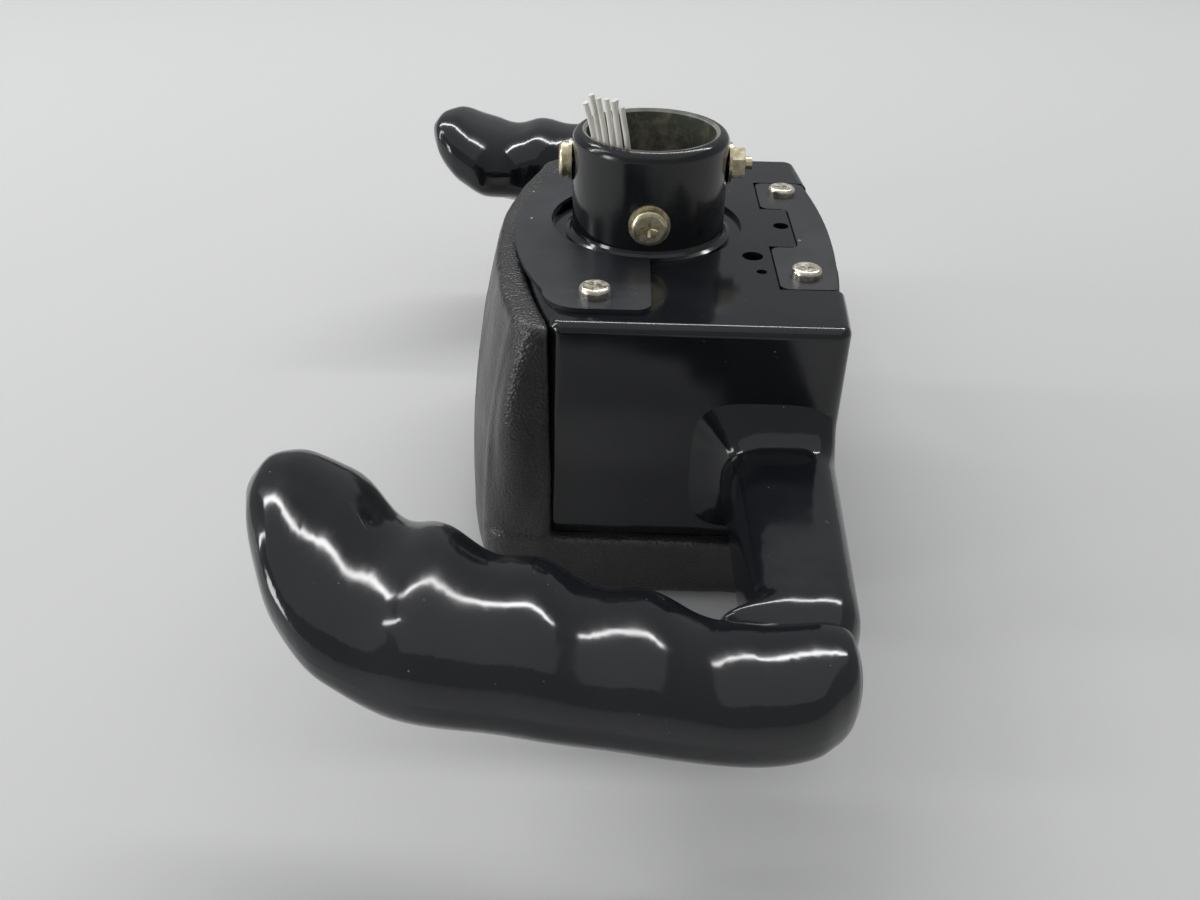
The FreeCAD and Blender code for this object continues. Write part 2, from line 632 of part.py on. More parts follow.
def upper_cover_plate():
    """The thin plate over the hub's upper access opening, cut out round the collar."""
    outline = side_outline(UPPER_PLATE_END_X, UPPER_PLATE_BULGE, UPPER_PLATE_RIGHT_X, 0.0,
                           UPPER_PLATE_HALF_Y, UPPER_PLATE_UP_CORNER, UPPER_PLATE_DOWN_CORNER, 0.0)
    plate = prism(outline, UPPER_PLATE_THICK)
    cuts = [Part.makeCylinder(UPPER_CUTOUT_R, UPPER_PLATE_THICK, V(0, UPPER_CUTOUT_SHIFT_Y, 0))]
    cuts += at_screws(Part.makeCylinder(COVER_SCREW_R + CLEAR_GAP, UPPER_PLATE_THICK), UPPER_SCREW_X,
                      UPPER_SCREW_Y, 0.0)
    return plate.cut(cuts)


def lower_cover_plate():
    """The C-shaped plate let into the face at its lower edge."""
    plate = prism(lower_plate_outline(0.0, -LOWER_PLATE_THICK), LOWER_PLATE_THICK)
    upright = [e for e in plate.Edges if e.BoundBox.ZLength > LOWER_PLATE_THICK / 2]
    plate = plate.makeFillet(LOWER_PLATE_CORNER, upright)
    return plate.cut(at_screws(Part.makeCylinder(COVER_SCREW_R + CLEAR_GAP, LOWER_PLATE_THICK),
                               LOWER_SCREW_X, LOWER_SCREW_Y, -LOWER_PLATE_THICK))


def cover_screws(x, y, seat_z):
    """The two screws of a cover plate."""
    return at_screws(pan_screw(COVER_HEAD_R, COVER_HEAD_H, COVER_SCREW_R, COVER_SCREW_LENGTH), x, y, seat_z)


def skirt_outline(thick, end, z):
    """An outline of the pad's skirt at one height: the hub's, thickened on the upper side."""
    return side_outline(HUB_UP_X - thick, HUB_UP_BULGE * 0.8, HUB_UP_X + 8.0, 0.0, HUB_HALF_Y + end,
                        PAD_CORNER, 1.0, z)


def pad_bottom_z():
    """The height of the surface that the wheel lies on."""
    return -HUB_DEPTH - PAD_THICK


def front_pad():
    """The padded pilot side, with a skirt that wraps over the hub's upper side."""
    bottom = pad_bottom_z()
    slab_outline = side_outline(HUB_UP_X - SKIRT_FOOT_THICK, HUB_UP_BULGE * 0.8, HUB_DOWN_X - 1.0, 1.0,
                                HUB_HALF_Y + PAD_RIM, PAD_CORNER, PAD_CORNER, bottom)
    slab = prism(slab_outline, PAD_THICK - PAD_GAP)
    slab = slab.makeFillet(PAD_EDGE, [e for e in slab.Edges if e.BoundBox.ZMax < bottom + 0.01])
    foot = skirt_outline(SKIRT_FOOT_THICK, SKIRT_END_FOOT, -HUB_DEPTH - 1.0)
    middle = skirt_outline(SKIRT_MID_THICK, (SKIRT_END_FOOT + SKIRT_END_TOP) / 2, -HUB_DEPTH / 2)
    top = skirt_outline(SKIRT_TOP_THICK, SKIRT_END_TOP, SKIRT_TOP_Z)
    skirt = Part.makeLoft([foot, middle, top], True, False)
    skirt = skirt.makeFillet(SKIRT_EDGE, [e for e in skirt.Edges if e.BoundBox.ZMin > SKIRT_TOP_Z - 0.01
                                          and e.BoundBox.XMax < HUB_UP_X])
    pad = slab.fuse(skirt)
    hub_room = hub_block(PAD_GAP, -HUB_DEPTH - PAD_GAP, SKIRT_TOP_Z + 1)
    plate_room = prism(hub_outline(-BACK_PLATE_MARGIN + PAD_GAP, -HUB_DEPTH - BACK_PLATE_THICK),
                       BACK_PLATE_THICK + 1)
    side_room = box(HUB_UP_X, HUB_DOWN_X, -HUB_HALF_Y - PAD_RIM, HUB_HALF_Y + PAD_RIM, -HUB_DEPTH - PAD_GAP, 0)
    return pad.cut([hub_room, plate_room, side_room])


def pad_backing_plate():
    """The steel plate that the pad is moulded on, with its four studs."""
    plate = prism(hub_outline(-BACK_PLATE_MARGIN, -HUB_DEPTH - BACK_PLATE_THICK), BACK_PLATE_THICK)
    studs = [Part.makeCylinder(STUD_R, EAR_THICK + STUD_NUT_THICK + 2.5, V(p.x, p.y, -HUB_DEPTH - 0.5))
             for p in ear_places()]
    return plate.fuse(studs)


def stud_nuts():
    """The nuts on the pad's studs, inside the hub."""
    nut = hexagon(STUD_NUT_ACROSS, STUD_NUT_THICK, STUD_R + FIT_GAP)
    return [placed(nut, V(p.x, p.y, -HUB_DEPTH + EAR_THICK)) for p in ear_places()]


def wire_grommet():
    """The rubber plug in the foot of the collar that the wires come up through."""
    plug = Part.makeCylinder(COLLAR_BORE_R - FIT_GAP, GROMMET_THICK, V(0, 0, GROMMET_TOP_Z - GROMMET_THICK))
    rim = [e for e in plug.Edges if e.BoundBox.ZMin > GROMMET_TOP_Z - 0.01]
    return plug.makeChamfer(0.8, rim)


def wire(points, name):
    """A wire along straight runs joined by tangent arcs."""
    pts = [V(*p) for p in points]
    edges = []
    start = pts[0]
    radii = []
    for i in range(1, len(pts) - 1):
        before, after = pts[i] - pts[i - 1], pts[i + 1] - pts[i]
        turn = before.getAngle(after)
        reach = 0.45 * min(before.Length, after.Length)
        u, w = V(before).normalize(), V(after).normalize()
        radius = reach / math.tan(turn / 2)
        radii.append(radius)
        first, last = pts[i] - u * reach, pts[i] + w * reach
        inward = (w - u).normalize()
        middle = pts[i] + inward * (radius / math.cos(turn / 2) - radius)
        edges += [line(start, first), arc(first, middle, last)]
        start = last
    edges.append(line(start, pts[-1]))
    path = Part.Wire(edges)
    direction = (pts[1] - pts[0]).normalize()
    disc = Part.Wire(Part.makeCircle(WIRE_R, pts[0], direction))
    tube = path.makePipeShell([disc], True, True)
    share = tube.Volume / (math.pi * WIRE_R ** 2 * path.Length)
    print(name, "length %.1f" % path.Length, "radii", [round(r, 1) for r in radii], "volume %.3f" % share)
    return tube


def in_ptt_seat(shape):
    """A shape of the push-to-talk button, moved to its place in the left horn."""
    return in_seat(shape, PTT_X, PTT_Y, 2 * PTT_SEAT_R, PTT_SEAT_DEPTH)


def in_trim_seat(shape):
    """A shape of the trim switch, moved to its place in the left horn."""
    return in_seat(shape, TRIM_X, TRIM_Y, TRIM_FRAME_X, TRIM_SEAT_DEPTH)


def ptt_bushing():
    """The screwed-in bushing of the push-to-talk button, with its flange outside the horn."""
    top = PTT_BODY_LENGTH
    return in_ptt_seat(revolved([(PTT_MOUTH_R, -PTT_FLANGE_THICK), (PTT_FLANGE_R - 0.6, -PTT_FLANGE_THICK),
                                 (PTT_FLANGE_R, -PTT_FLANGE_THICK + 0.6), (PTT_FLANGE_R, 0),
                                 (PTT_BODY_R, 0), (PTT_BODY_R, top), (PTT_BORE_R, top),
                                 (PTT_BORE_R, PTT_MOUTH_LENGTH), (PTT_MOUTH_R, PTT_MOUTH_LENGTH)]))


def ptt_button():
    """The plunger: a domed stem through the bushing's mouth and a wider head behind it."""
    shoulder = PTT_MOUTH_LENGTH + PTT_STOP_GAP
    head = Part.makeCylinder(PTT_BORE_R - TURN_GAP, PTT_HEAD_LENGTH, V(0, 0, shoulder))
    end = -PTT_FLANGE_THICK - PTT_PROUD
    stem = Part.makeCylinder(PTT_MOUTH_R - TURN_GAP, shoulder - end, V(0, 0, end))
    stem = stem.makeFillet(1.3, [e for e in stem.Edges if e.BoundBox.ZMax < end + 0.01])
    return in_ptt_seat(head.fuse(stem))


def spring_ends():
    """Lowest and highest place of the button's spring, above the switch seat."""
    low = PTT_MOUTH_LENGTH + PTT_STOP_GAP + PTT_HEAD_LENGTH
    return low + PTT_STOP_GAP, PTT_BODY_LENGTH - PTT_SWITCH_GRIP


def ptt_spring():
    """The spring between the plunger's head and the switch."""
    low, high = spring_ends()
    height = high - low - 2 * SPRING_WIRE_R - PTT_STOP_GAP
    radius = PTT_BORE_R - 1.6
    steps = SPRING_TURNS * SPRING_STEPS
    turns = [2 * math.pi * i / SPRING_STEPS for i in range(steps + 1)]
    helix = Part.BSplineCurve()
    helix.interpolate(Points=[V(radius * math.cos(turn), radius * math.sin(turn), height * turn / turns[-1])
                              for turn in turns])
    disc = Part.Wire(Part.makeCircle(SPRING_WIRE_R, V(radius, 0, 0), V(0, 1, 0)))
    coil = Part.Wire(helix.toShape()).makePipeShell([disc], True, True)
    coil.translate(V(0, 0, low + SPRING_WIRE_R))
    return in_ptt_seat(coil)


def ptt_switch():
    """The sealed contact block behind the spring, held in the bushing."""
    low, high = spring_ends()
    block = Part.makeCylinder(PTT_BORE_R - FIT_GAP, PTT_SWITCH_LENGTH, V(0, 0, high))
    end = high + PTT_SWITCH_LENGTH
    tags = [box(x - 0.6, x + 0.6, -0.3, 0.3, end - 0.2, end + 1.6) for x in (-2.2, 2.2)]
    return in_ptt_seat(block.fuse(tags))


def trim_frame():
    """The bezel round the rocker, let into the horn."""
    frame = box(-TRIM_FRAME_X / 2, TRIM_FRAME_X / 2, -TRIM_FRAME_Y / 2, TRIM_FRAME_Y / 2, -TRIM_FRAME_THICK, 0)
    frame = frame.makeFillet(1.2, [e for e in frame.Edges if e.BoundBox.ZLength > TRIM_FRAME_THICK / 2])
    opening = box(-TRIM_OPEN_X / 2, TRIM_OPEN_X / 2, -TRIM_OPEN_Y / 2, TRIM_OPEN_Y / 2, -TRIM_FRAME_THICK - 1, 1)
    return in_trim_seat(frame.cut(opening))


def trim_switch_body():
    """The switch housing behind the bezel, hollow where the rocker swings."""
    case = box(-TRIM_BOX_X / 2, TRIM_BOX_X / 2, -TRIM_BOX_Y / 2, TRIM_BOX_Y / 2, 0, TRIM_BOX_DEPTH)
    room = box(-TRIM_OPEN_X / 2, TRIM_OPEN_X / 2, -TRIM_OPEN_Y / 2, TRIM_OPEN_Y / 2, -1, TRIM_CAVITY_DEPTH)
    hole = rod(ROCKER_PIN_R + PIN_GAP, V(0, -TRIM_BOX_Y, ROCKER_PIN_LIFT), V(0, TRIM_BOX_Y, ROCKER_PIN_LIFT))
    return in_trim_seat(case.cut([room, hole]))


def trim_rocker():
    """The two-way paddle of the trim switch, dished in the middle, on its pivot."""
    face = -ROCKER_PIN_LIFT - TRIM_FRAME_THICK - ROCKER_PROUD
    half = ROCKER_X / 2
    a, b = V(-half, 0, face), V(half, 0, face)
    side = [V(half, 0, 0.4), V(half * 0.4, 0, ROCKER_FOOT), V(-half * 0.4, 0, ROCKER_FOOT), V(-half, 0, 0.4)]
    edges = [arc(a, V(0, 0, face + ROCKER_DIP), b), line(b, side[0]), line(side[0], side[1]),
             line(side[1], side[2]), line(side[2], side[3]), line(side[3], a)]
    body = Part.Face(Part.Wire(edges)).extrude(V(0, ROCKER_Y, 0))
    body.translate(V(0, -ROCKER_Y / 2, 0))
    body = body.cut(rod(ROCKER_PIN_R + TURN_GAP, V(0, -ROCKER_Y, 0), V(0, ROCKER_Y, 0)))
    return in_trim_seat(placed(body, V(0, 0, ROCKER_PIN_LIFT)))


def trim_pin():
    """The rocker's pivot pin, held in the walls of the switch housing."""
    reach = TRIM_BOX_Y / 2 - FIT_GAP
    return in_trim_seat(rod(ROCKER_PIN_R, V(0, -reach, ROCKER_PIN_LIFT), V(0, reach, ROCKER_PIN_LIFT)))


def save(name, shape):
    """Write one node, as one solid or a group of solids."""
    solids = []
    for item in shape if isinstance(shape, list) else [shape]:
        solids += item.Solids
    for solid in solids:
        if not solid.isValid() or solid.Volume <= 0:
            print("BAD", name, solid.Volume)
    result = solids[0] if len(solids) == 1 else Part.makeCompound(solids)
    result.exportStep("parts/%s.step" % name)
    b = result.BoundBox
    print("%-22s %2d solids %9.1f mm3  x %.1f %.1f  y %.1f %.1f  z %.1f %.1f" % (
        name, len(solids), result.Volume, b.XMin, b.XMax, b.YMin, b.YMax, b.ZMin, b.ZMax))


def main():
    """Build every node."""
    os.makedirs("parts", exist_ok=True)
    across, fore = V(1, 0, 0), V(0, 1, 0)
    save("wheel_moulding", wheel_moulding())
    save("column_collar", column_collar())
    save("flange_screws", flange_screws())
    for name, direction, z in (("upper_cross", across, UPPER_BOLT_Z), ("lower_cross", fore, LOWER_BOLT_Z)):
        save(name + "_bolt", cross_bolt(direction, z))
        save(name + "_washers", washer_pair(direction, z))
        save(name + "_nut", bolt_nut(direction, z))
    save("upper_cover_plate", upper_cover_plate())
    save("upper_cover_screws", cover_screws(UPPER_SCREW_X, UPPER_SCREW_Y, UPPER_PLATE_THICK))
    save("lower_cover_plate", lower_cover_plate())
    save("lower_cover_screws", cover_screws(LOWER_SCREW_X, LOWER_SCREW_Y, 0.0))
    save("front_pad", front_pad())
    save("pad_backing_plate", pad_backing_plate())
    save("stud_nuts", stud_nuts())
    save("wire_grommet", wire_grommet())
    for number, route in enumerate(WIRE_ROUTES, 1):
        save("wire_%d" % number, wire(route, "wire %d" % number))
    save("ptt_bushing", ptt_bushing())
    save("ptt_button", ptt_button())
    save("ptt_spring", ptt_spring())
    save("ptt_switch", ptt_switch())
    save("trim_frame", trim_frame())
    save("trim_switch_body", trim_switch_body())
    save("trim_rocker", trim_rocker())
    save("trim_pin", trim_pin())


if __name__ == "__main__":
    main()
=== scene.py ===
"""Looks of the aircraft control wheel: materials, padded pilot side, loose wires, light and camera."""
import json
import math

import bmesh
import bpy
from mathutils import Matrix, Vector, noise


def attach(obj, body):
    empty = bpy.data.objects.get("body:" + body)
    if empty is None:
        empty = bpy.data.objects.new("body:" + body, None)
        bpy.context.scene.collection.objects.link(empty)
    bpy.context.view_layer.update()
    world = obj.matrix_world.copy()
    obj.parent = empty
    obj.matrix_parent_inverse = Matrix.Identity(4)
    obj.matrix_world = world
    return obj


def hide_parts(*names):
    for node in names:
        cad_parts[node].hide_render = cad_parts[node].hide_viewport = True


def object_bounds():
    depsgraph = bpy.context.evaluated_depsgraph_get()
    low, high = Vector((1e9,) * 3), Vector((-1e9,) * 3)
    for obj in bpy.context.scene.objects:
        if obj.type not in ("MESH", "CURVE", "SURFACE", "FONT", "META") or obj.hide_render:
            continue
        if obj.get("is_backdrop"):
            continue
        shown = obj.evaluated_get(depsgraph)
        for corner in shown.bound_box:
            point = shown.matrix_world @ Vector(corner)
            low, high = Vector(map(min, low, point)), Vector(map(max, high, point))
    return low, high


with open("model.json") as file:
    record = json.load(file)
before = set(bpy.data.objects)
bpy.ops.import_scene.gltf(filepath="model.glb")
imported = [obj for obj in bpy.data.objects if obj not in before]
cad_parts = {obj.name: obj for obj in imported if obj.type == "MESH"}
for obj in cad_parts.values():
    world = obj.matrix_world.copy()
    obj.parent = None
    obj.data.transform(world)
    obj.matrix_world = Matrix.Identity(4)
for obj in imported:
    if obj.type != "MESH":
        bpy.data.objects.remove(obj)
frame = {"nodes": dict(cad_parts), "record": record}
CAD_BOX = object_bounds()

# Camera: frame and focal length of the photograph in pixels, the camera's turns in radians and its
# distance in metres, the sensor's width in millimetres and the pixel where the frame's origin falls
PHOTO_WIDTH = 1200
PHOTO_HEIGHT = 900
FOCAL_PIXELS = 1050
SENSOR_WIDTH = 36.0
CAMERA_TURN = -0.02273
CAMERA_LIFT = 0.39174
CAMERA_ROLL = 0.03762
ORIGIN_PIXEL = (647.39, 227.57)
CAMERA_DISTANCE = 0.30356

# Loose wires: the routes of their centre lines, in metres
WIRE_DIAMETER = 0.0015
WIRE_ROUTES = (
    ((-0.0116, -0.0054, -0.0017), (-0.0132, -0.0070, 0.010), (-0.0141, -0.0075, 0.026),
     (-0.0173, -0.0104, 0.0376)),
    ((-0.0096, -0.0072, -0.0017), (-0.0120, -0.0090, 0.010), (-0.0126, -0.0097, 0.026),
     (-0.0158, -0.0117, 0.0400)),
    ((-0.0074, -0.0088, -0.0017), (-0.0103, -0.0110, 0.010), (-0.0112, -0.0115, 0.026),
     (-0.0140, -0.0129, 0.0395)),
    ((-0.0052, -0.0106, -0.0017), (-0.0082, -0.0126, 0.010), (-0.0096, -0.0131, 0.026),
     (-0.0119, -0.0140, 0.0396)),
    ((-0.0046, -0.0136, -0.0017), (-0.0063, -0.0139, 0.010), (-0.0078, -0.0142, 0.026),
     (-0.0101, -0.0152, 0.0395)),
    ((-0.0062, -0.0064, -0.0017), (-0.0086, -0.0088, 0.010), (-0.0096, -0.0098, 0.026),
     (-0.0096, -0.0120, 0.0390)),
    ((-0.0045, -0.0079, -0.0017), (-0.0054, -0.0112, 0.010), (-0.0054, -0.0148, 0.0255),
     (-0.0081, -0.0159, 0.0382)),
    ((-0.0134, -0.0034, -0.0017), (-0.0148, -0.0049, 0.008), (-0.0154, -0.0045, 0.0175),
     (-0.0158, -0.0005, 0.0245), (-0.0153, 0.0045, 0.0270)))

# Collar sizes that its paint follows
COLLAR_BORE_R = 0.017465
COLLAR_TOP_Z = 0.028

# Pad: how near points are welded, how finely the vinyl is shaped, the roll and the valley along its seam
# with the hub, and its wrinkles and pebbles
WELD = 0.000002
PAD_VOXEL = 0.0009
PAD_SMOOTHING = 5
HUB_HALF_Y = 0.060
HUB_GAP = 0.0006
FACES_HUB = 0.5
FACES_UP = 0.9
SEAM_FADE_IN = 0.003
SEAM_FADE_OUT = 0.001
ROLL_X = -0.0325
ROLL_WIDTH = 0.0052
ROLL_RISE = 0.0030
VALLEY_X = -0.0425
VALLEY_WIDTH = 0.0045
VALLEY_DEPTH = 0.0020
ROLL_TOP_Z = -0.004
ROLL_FOOT_Z = -0.058
WRINKLE_SIZE = 0.016
WRINKLE_STRETCH = 0.45
WRINKLE_OCTAVES = 3
WRINKLE_FALL = 0.8
WRINKLE_STEP = 2.0
WRINKLE_RISE = 0.00035
PEBBLE_SIZE = 0.0022
PEBBLE_RISE = 0.00007

# Studio: the floor, the sky and the lamps, each with its name, place, size and watts
FLOOR_SIZE = 6.0
FLOOR_COLOR = (0.56, 0.56, 0.56)
SKY_COLOR = (0.62, 0.63, 0.64, 1)
SKY_STRENGTH = 0.50
LAMPS = (
    ("strip_behind", (0.0, 0.87, 1.24), (2.4, 0.11), 18),
    ("lamp_low_left", (-1.0, -0.5, 0.10), (0.25, 0.5), 4),
    ("lamp_left", (-1.30, 0.10, 0.70), (0.10, 1.2), 6),
    ("soft_ceiling", (0.0, 0.0, 2.60), (5.0, 5.0), 26))


class Shader:
    """A small builder for a node material with one principled surface."""

    def __init__(self, name, color, roughness, metallic=0.0):
        self.material = bpy.data.materials.new(name)
        self.material.use_nodes = True
        self.tree = self.material.node_tree
        self.surface = self.tree.nodes["Principled BSDF"]
        self.surface.inputs["Base Color"].default_value = (*color, 1)
        self.surface.inputs["Roughness"].default_value = roughness
        self.surface.inputs["Metallic"].default_value = metallic
        self.place = self.add("ShaderNodeTexCoord").outputs["Object"]
        self.height = None

    def add(self, kind, **values):
        node = self.tree.nodes.new(kind)
        for key, value in values.items():
            setattr(node, key, value)
        return node

    def wire(self, source, target):
        self.tree.links.new(source, target)

    def stretched(self, scale, turn=(0, 0, 0)):
        """The place on the object, turned and then measured in units of a scale."""
        node = self.add("ShaderNodeMapping", vector_type="TEXTURE")
        node.inputs["Scale"].default_value = scale
        node.inputs["Rotation"].default_value = turn
        self.wire(self.place, node.inputs["Vector"])
        return node.outputs["Vector"]

    def noise(self, scale, detail=4.0, rough=0.55, warp=0.0, place=None):
        node = self.add("ShaderNodeTexNoise")
        node.inputs["Scale"].default_value = scale
        node.inputs["Detail"].default_value = detail
        node.inputs["Roughness"].default_value = rough
        node.inputs["Distortion"].default_value = warp
        self.wire(place or self.place, node.inputs["Vector"])
        return node.outputs["Fac"]

    def cells(self, scale, feature="F1", place=None):
        node = self.add("ShaderNodeTexVoronoi", feature=feature)
        node.inputs["Scale"].default_value = scale
        self.wire(place or self.place, node.inputs["Vector"])
        return node.outputs["Distance"]

    def ramp(self, source, low, high, start=0.0, end=1.0):
        """A value mapped from low..high to start..end, and held outside."""
        node = self.add("ShaderNodeMapRange")
        node.inputs["From Min"].default_value = low
        node.inputs["From Max"].default_value = high
        node.inputs["To Min"].default_value = start
        node.inputs["To Max"].default_value = end
        self.wire(source, node.inputs["Value"])
        return node.outputs["Result"]

    def maths(self, operation, a, b=None):
        node = self.add("ShaderNodeMath", operation=operation)
        for socket, value in zip(node.inputs, (a, b)):
            if value is None:
                continue
            if isinstance(value, (int, float)):
                socket.default_value = value
            else:
                self.wire(value, socket)
        return node.outputs["Value"]

    def axis(self, name):
        node = self.add("ShaderNodeSeparateXYZ")
        self.wire(self.place, node.inputs["Vector"])
        return node.outputs[name]

    def radius(self):
        """How far a point is from the collar's axis."""
        x, y = self.axis("X"), self.axis("Y")
        squared = self.maths("ADD", self.maths("MULTIPLY", x, x), self.maths("MULTIPLY", y, y))
        return self.maths("SQRT", squared)

    def edges(self, low=0.52, high=0.60):
        """Where the surface is sharp and stands out, as worn edges do."""
        return self.ramp(self.add("ShaderNodeNewGeometry").outputs["Pointiness"], low, high)

    def tint(self, amount, color):
        """Lay a colour over what the surface has, by an amount."""
        node = self.add("ShaderNodeMix", data_type="RGBA")
        target = self.surface.inputs["Base Color"]
        if target.is_linked:
            self.wire(target.links[0].from_socket, node.inputs["A"])
        else:
            node.inputs["A"].default_value = tuple(target.default_value)
        node.inputs["B"].default_value = (*color, 1)
        self.wire(amount, node.inputs["Factor"])
        self.wire(node.outputs["Result"], target)

    def rough(self, amount, value):
        """Move the roughness to a value, by an amount."""
        node = self.add("ShaderNodeMix", data_type="FLOAT")
        target = self.surface.inputs["Roughness"]
        if target.is_linked:
            self.wire(target.links[0].from_socket, node.inputs["A"])
        else:
            node.inputs["A"].default_value = target.default_value
        node.inputs["B"].default_value = value
        self.wire(amount, node.inputs["Factor"])
        self.wire(node.outputs["Result"], target)

    def bump(self, source, depth):
        """Raise the surface by a source, a depth in metres."""
        node = self.add("ShaderNodeBump")
        node.inputs["Distance"].default_value = depth
        self.wire(source, node.inputs["Height"])
        if self.height:
            self.wire(self.height, node.inputs["Normal"])
        self.height = node.outputs["Normal"]
        self.wire(self.height, self.surface.inputs["Normal"])


def scratches(shader, scale, turn, width, share):
    """Separate fine straight scratches along one direction, in some places only."""
    place = shader.stretched((1, 40, 1), turn)
    lines = shader.ramp(shader.cells(scale, "F1", place), 0.0, width, 1.0, 0.0)
    patches = shader.ramp(shader.noise(38.0, 2.0), 1 - share, 1 - share + 0.05)
    return shader.maths("MULTIPLY", lines, patches)


def moulding_gloss_black():
    """Glossy black moulding: handled smooth, with fine scratches and dust specks."""
    s = Shader("moulding_gloss_black", (0.0075, 0.0085, 0.0105), 0.10)
    s.surface.inputs["Specular IOR Level"].default_value = 0.55
    s.tint(s.ramp(s.noise(26.0, 5.0, 0.6), 0.42, 0.75, 0.0, 0.5), (0.016, 0.017, 0.020))
    s.rough(s.ramp(s.noise(55.0, 6.0, 0.65, 0.4), 0.4, 0.75), 0.19)
    fine = scratches(s, 420.0, (0.3, 0.2, 0.7), 0.05, 0.50)
    long = scratches(s, 190.0, (0.1, 0.9, -0.5), 0.028, 0.50)
    cross = scratches(s, 260.0, (0.0, 0.1, 1.3), 0.035, 0.45)
    marks = s.maths("MAXIMUM", s.maths("MAXIMUM", fine, long), cross)
    s.tint(s.maths("MULTIPLY", marks, 0.7), (0.26, 0.26, 0.26))
    s.rough(marks, 0.45)
    specks = s.ramp(s.cells(330.0), 0.045, 0.075, 1.0, 0.0)
    sparse = s.ramp(s.noise(140.0, 2.0), 0.56, 0.62)
    s.tint(s.maths("MULTIPLY", specks, s.maths("MULTIPLY", sparse, 0.5)), (0.34, 0.33, 0.30))
    s.bump(s.noise(95.0, 2.0, 0.5), 0.00002)
    return s.material


def collar_black():
    """Black coated steel: gloss outside, bare greenish-brown metal in the bore, and a pale ring at the bore's
    top edge that is partly worn bare metal and partly a painted highlight.
    """
    s = Shader("collar_black", (0.007, 0.008, 0.009), 0.12)
    bore = s.ramp(s.radius(), COLLAR_BORE_R + 0.0002, COLLAR_BORE_R + 0.0004, 1.0, 0.0)
    s.tint(bore, (0.060, 0.066, 0.052))
    grime = s.maths("MULTIPLY", bore, s.ramp(s.noise(120.0, 6.0, 0.7), 0.45, 0.62))
    s.tint(grime, (0.20, 0.19, 0.155))
    s.rough(bore, 0.36)
    # Pale ring at the bore's top edge: partly worn bare metal at the chamfer, partly a painted highlight
    # along the rim
    edge = s.ramp(s.radius(), COLLAR_BORE_R + 0.0009, COLLAR_BORE_R + 0.0011, 1.0, 0.0)
    top = s.ramp(s.axis("Z"), COLLAR_TOP_Z - 0.0008, COLLAR_TOP_Z - 0.0005)
    patchy_along_rim = s.ramp(s.noise(90.0, 3.0), 0.35, 0.55, 0.3, 1.0)
    chamfer_wear_and_highlight = s.maths("MULTIPLY", s.maths("MULTIPLY", edge, top), patchy_along_rim)
    s.tint(s.maths("MULTIPLY", chamfer_wear_and_highlight, 0.7), (0.34, 0.35, 0.29))
    marks = scratches(s, 300.0, (0.2, 0.4, 0.2), 0.05, 0.5)
    s.tint(s.maths("MULTIPLY", marks, 0.4), (0.35, 0.35, 0.30))
    s.rough(s.ramp(s.noise(70.0, 5.0), 0.45, 0.7), 0.30)
    s.bump(s.noise(320.0, 3.0), 0.00003)
    return s.material


def plate_satin_black():
    """Satin black paint on sheet, with a few chips to pale primer."""
    s = Shader("plate_satin_black", (0.0135, 0.0155, 0.0195), 0.33)
    s.tint(s.ramp(s.noise(40.0, 4.0), 0.4, 0.7), (0.022, 0.024, 0.029))
    s.rough(s.ramp(s.noise(60.0, 5.0), 0.4, 0.7), 0.45)
    chips = s.maths("MULTIPLY", s.ramp(s.cells(260.0), 0.10, 0.14, 1.0, 0.0),
                    s.ramp(s.noise(75.0, 2.0), 0.62, 0.66))
    s.tint(chips, (0.42, 0.43, 0.41))
    marks = scratches(s, 260.0, (0.0, 0.0, 0.5), 0.04, 0.5)
    s.tint(s.maths("MULTIPLY", marks, 0.4), (0.25, 0.26, 0.27))
    s.bump(s.noise(500.0, 2.0), 0.00003)
    return s.material


def pad_black_vinyl():
    """Grained black vinyl: fine pebbles, wrinkles, and paler where it is rubbed."""
    s = Shader("pad_black_vinyl", (0.012, 0.0125, 0.0125), 0.30)
    s.surface.inputs["Specular IOR Level"].default_value = 0.5
    s.tint(s.ramp(s.noise(30.0, 5.0, 0.6), 0.4, 0.75, 0.0, 0.8), (0.034, 0.034, 0.032))
    s.tint(s.edges(0.52, 0.60), (0.075, 0.073, 0.067))
    s.rough(s.ramp(s.noise(45.0, 4.0), 0.4, 0.7), 0.42)
    grain = s.ramp(s.cells(1500.0, "SMOOTH_F1"), 0.0, 0.7, 1.0, 0.0)
    s.bump(grain, 0.00016)
    s.bump(s.noise(260.0, 4.0, 0.6, 0.6), 0.00020)
    return s.material


def plated(name, color, dull, roughness):
    """Plated metal, clouded and tarnished."""
    s = Shader(name, color, roughness, 1.0)
    s.tint(s.ramp(s.noise(420.0, 5.0, 0.6), 0.40, 0.68), dull)
    s.rough(s.ramp(s.noise(700.0, 4.0), 0.4, 0.7), roughness + 0.22)
    s.bump(s.noise(1500.0, 3.0), 0.00002)
    return s.material


def wire_white():
    """White wire insulation with a little grey dirt."""
    s = Shader("wire_white", (0.74, 0.73, 0.68), 0.42)
    dirt = s.noise(300.0, 4.0, 0.6, place=s.stretched((1, 1, 3)))
    s.tint(s.ramp(dirt, 0.45, 0.72, 0.0, 0.8), (0.40, 0.38, 0.31))
    s.bump(s.noise(1800.0, 2.0), 0.00002)
    return s.material


def plastic(name, color, roughness):
    """Fine-textured moulded plastic."""
    s = Shader(name, color, roughness)
    s.tint(s.ramp(s.noise(180.0, 4.0), 0.4, 0.75, 0.0, 0.5), tuple(min(1.0, 1.6 * c + 0.01) for c in color))
    s.rough(s.ramp(s.noise(240.0, 4.0), 0.4, 0.7), roughness + 0.12)
    s.bump(s.noise(2400.0, 2.0), 0.00002)
    return s.material


